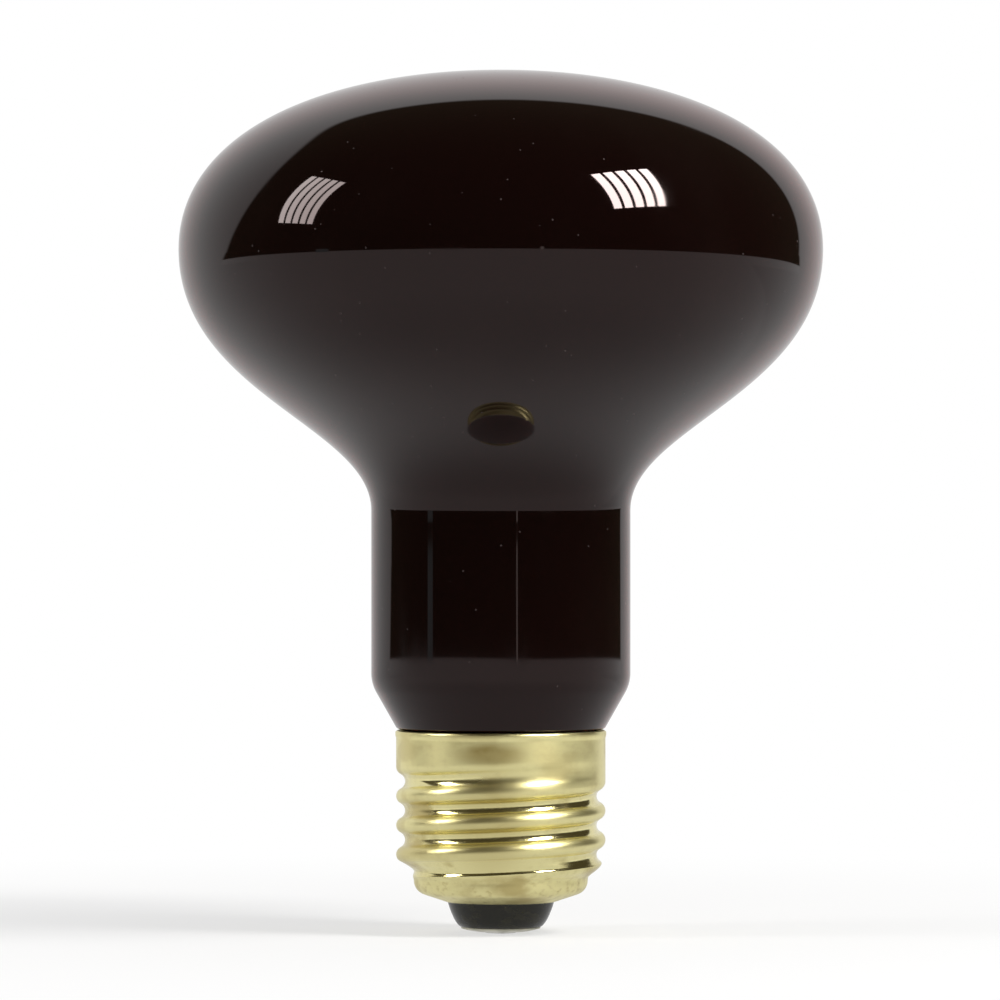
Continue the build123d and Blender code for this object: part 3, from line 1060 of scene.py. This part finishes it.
def lay_floor(studio):
    """A square floor at the height that the bulb stands on."""
    bm = bmesh.new()
    half = studio.floor_size / 2
    corners = ((-half, -half), (half, -half), (half, half), (-half, half))
    bm.faces.new([bm.verts.new((x, y, 0.0)) for x, y in corners])
    floor = finished("studio_floor", bm)
    floor.data.materials.append(floor_material(studio))


def hang_panels():
    """The panels that the glass mirrors, and behind two of them the lamps for matt surfaces."""
    dome = Vector((0.0, 0.0, 0.085))
    right, left = (56, 41), (-79.5, 28.5)
    warm, warmer = (1.0, 0.99, 0.97), (1.0, 0.98, 0.97)
    warmest, cool = (1.0, 0.98, 0.95), (0.7, 0.95, 1.0)
    for name, centre, size, lean, strips, glow, tone, mirrored in (
        ("right_softbox", dome + direction(*right, 0.6), (0.225, 0.31), -0.25, 5, 42.0, warm, True),
        ("left_softbox", dome + direction(*left, 0.6), (0.175, 0.33), 0.12, 5, 11.0, warmer, True),
        ("right_lamp", dome + direction(*right, 0.63), (0.24, 0.33), 0.0, 1, 23.0, warm, False),
        ("left_lamp", dome + direction(*left, 0.63), (0.185, 0.35), 0.0, 1, 9.0, warmer, False),
        ("doorway", direction(14, 0.2, 1.1), (0.03, 0.065), 0.03, 1, 1.6, warmest, True),
        ("window", direction(-66, 0.2, 1.1), (0.14, 0.065), 0.0, 1, 0.5, cool, True),
    ):
        card(name, centre, size, lean, strips, glow, tone, mirrored)


def set_camera(scene, studio):
    """The camera in front of the bulb, aimed a little down."""
    data = bpy.data.cameras.new("Camera")
    data.sensor_width = 36.0
    data.lens = data.sensor_width * studio.distance / studio.frame_width
    data.clip_start, data.clip_end = 0.01, 20.0
    camera = bpy.data.objects.new("Camera", data)
    scene.collection.objects.link(camera)
    # The bulb's axis stands 0.1 mm right of the picture's middle
    aim = Vector((-0.1 * MM, 0.0, studio.aim_height))
    back = direction(0, math.degrees(studio.rise), studio.distance)
    camera.location = aim + back
    camera.rotation_euler = (-back).to_track_quat("-Z", "Y").to_euler()
    scene.camera = camera
    scene.view_settings.view_transform = "Standard"


class SPOTBULB_OT_studio(bpy.types.Operator):
    """Lay the pale floor, hang the panels and lamps, and set the camera"""

    bl_idname = "spotbulb.studio"
    bl_label = "Studio"

    def execute(self, context):
        studio = context.scene.spot_studio
        studio_world()
        lay_floor(studio)
        hang_panels()
        set_camera(context.scene, studio)
        return {"FINISHED"}


OPERATORS = (
    SPOTBULB_OT_studio,
    SPOTBULB_OT_glass,
    SPOTBULB_OT_shell,
    SPOTBULB_OT_insulator,
    SPOTBULB_OT_contact,
    SPOTBULB_OT_solder,
    SPOTBULB_OT_inside,
)


class SPOTBULB_PT_panel(bpy.types.Panel):
    """Lists the bulb's pieces and their sizes"""

    bl_idname = "SPOTBULB_PT_panel"
    bl_label = "Spot Bulb"
    bl_space_type = "VIEW_3D"
    bl_region_type = "UI"
    bl_category = "Spot Bulb"

    def draw(self, context):
        for operator in OPERATORS:
            self.layout.operator(operator.bl_idname)
        for name, group in SETTINGS.items():
            column = self.layout.box().column()
            for size in group.__annotations__:
                column.prop(getattr(context.scene, name), size)


def register():
    for name, group in SETTINGS.items():
        bpy.utils.register_class(group)
        setattr(bpy.types.Scene, name, PointerProperty(type=group))
    for operator in OPERATORS:
        bpy.utils.register_class(operator)
    bpy.utils.register_class(SPOTBULB_PT_panel)


def unregister():
    bpy.utils.unregister_class(SPOTBULB_PT_panel)
    for operator in reversed(OPERATORS):
        bpy.utils.unregister_class(operator)
    for name, group in reversed(SETTINGS.items()):
        delattr(bpy.types.Scene, name)
        bpy.utils.unregister_class(group)


def main():
    register()
    bpy.ops.spotbulb.studio()
    bpy.ops.spotbulb.glass()
    bpy.ops.spotbulb.shell()
    bpy.ops.spotbulb.insulator()
    bpy.ops.spotbulb.contact()
    bpy.ops.spotbulb.solder()
    bpy.ops.spotbulb.inside()
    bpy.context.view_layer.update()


if __name__ == "__main__":
    main()
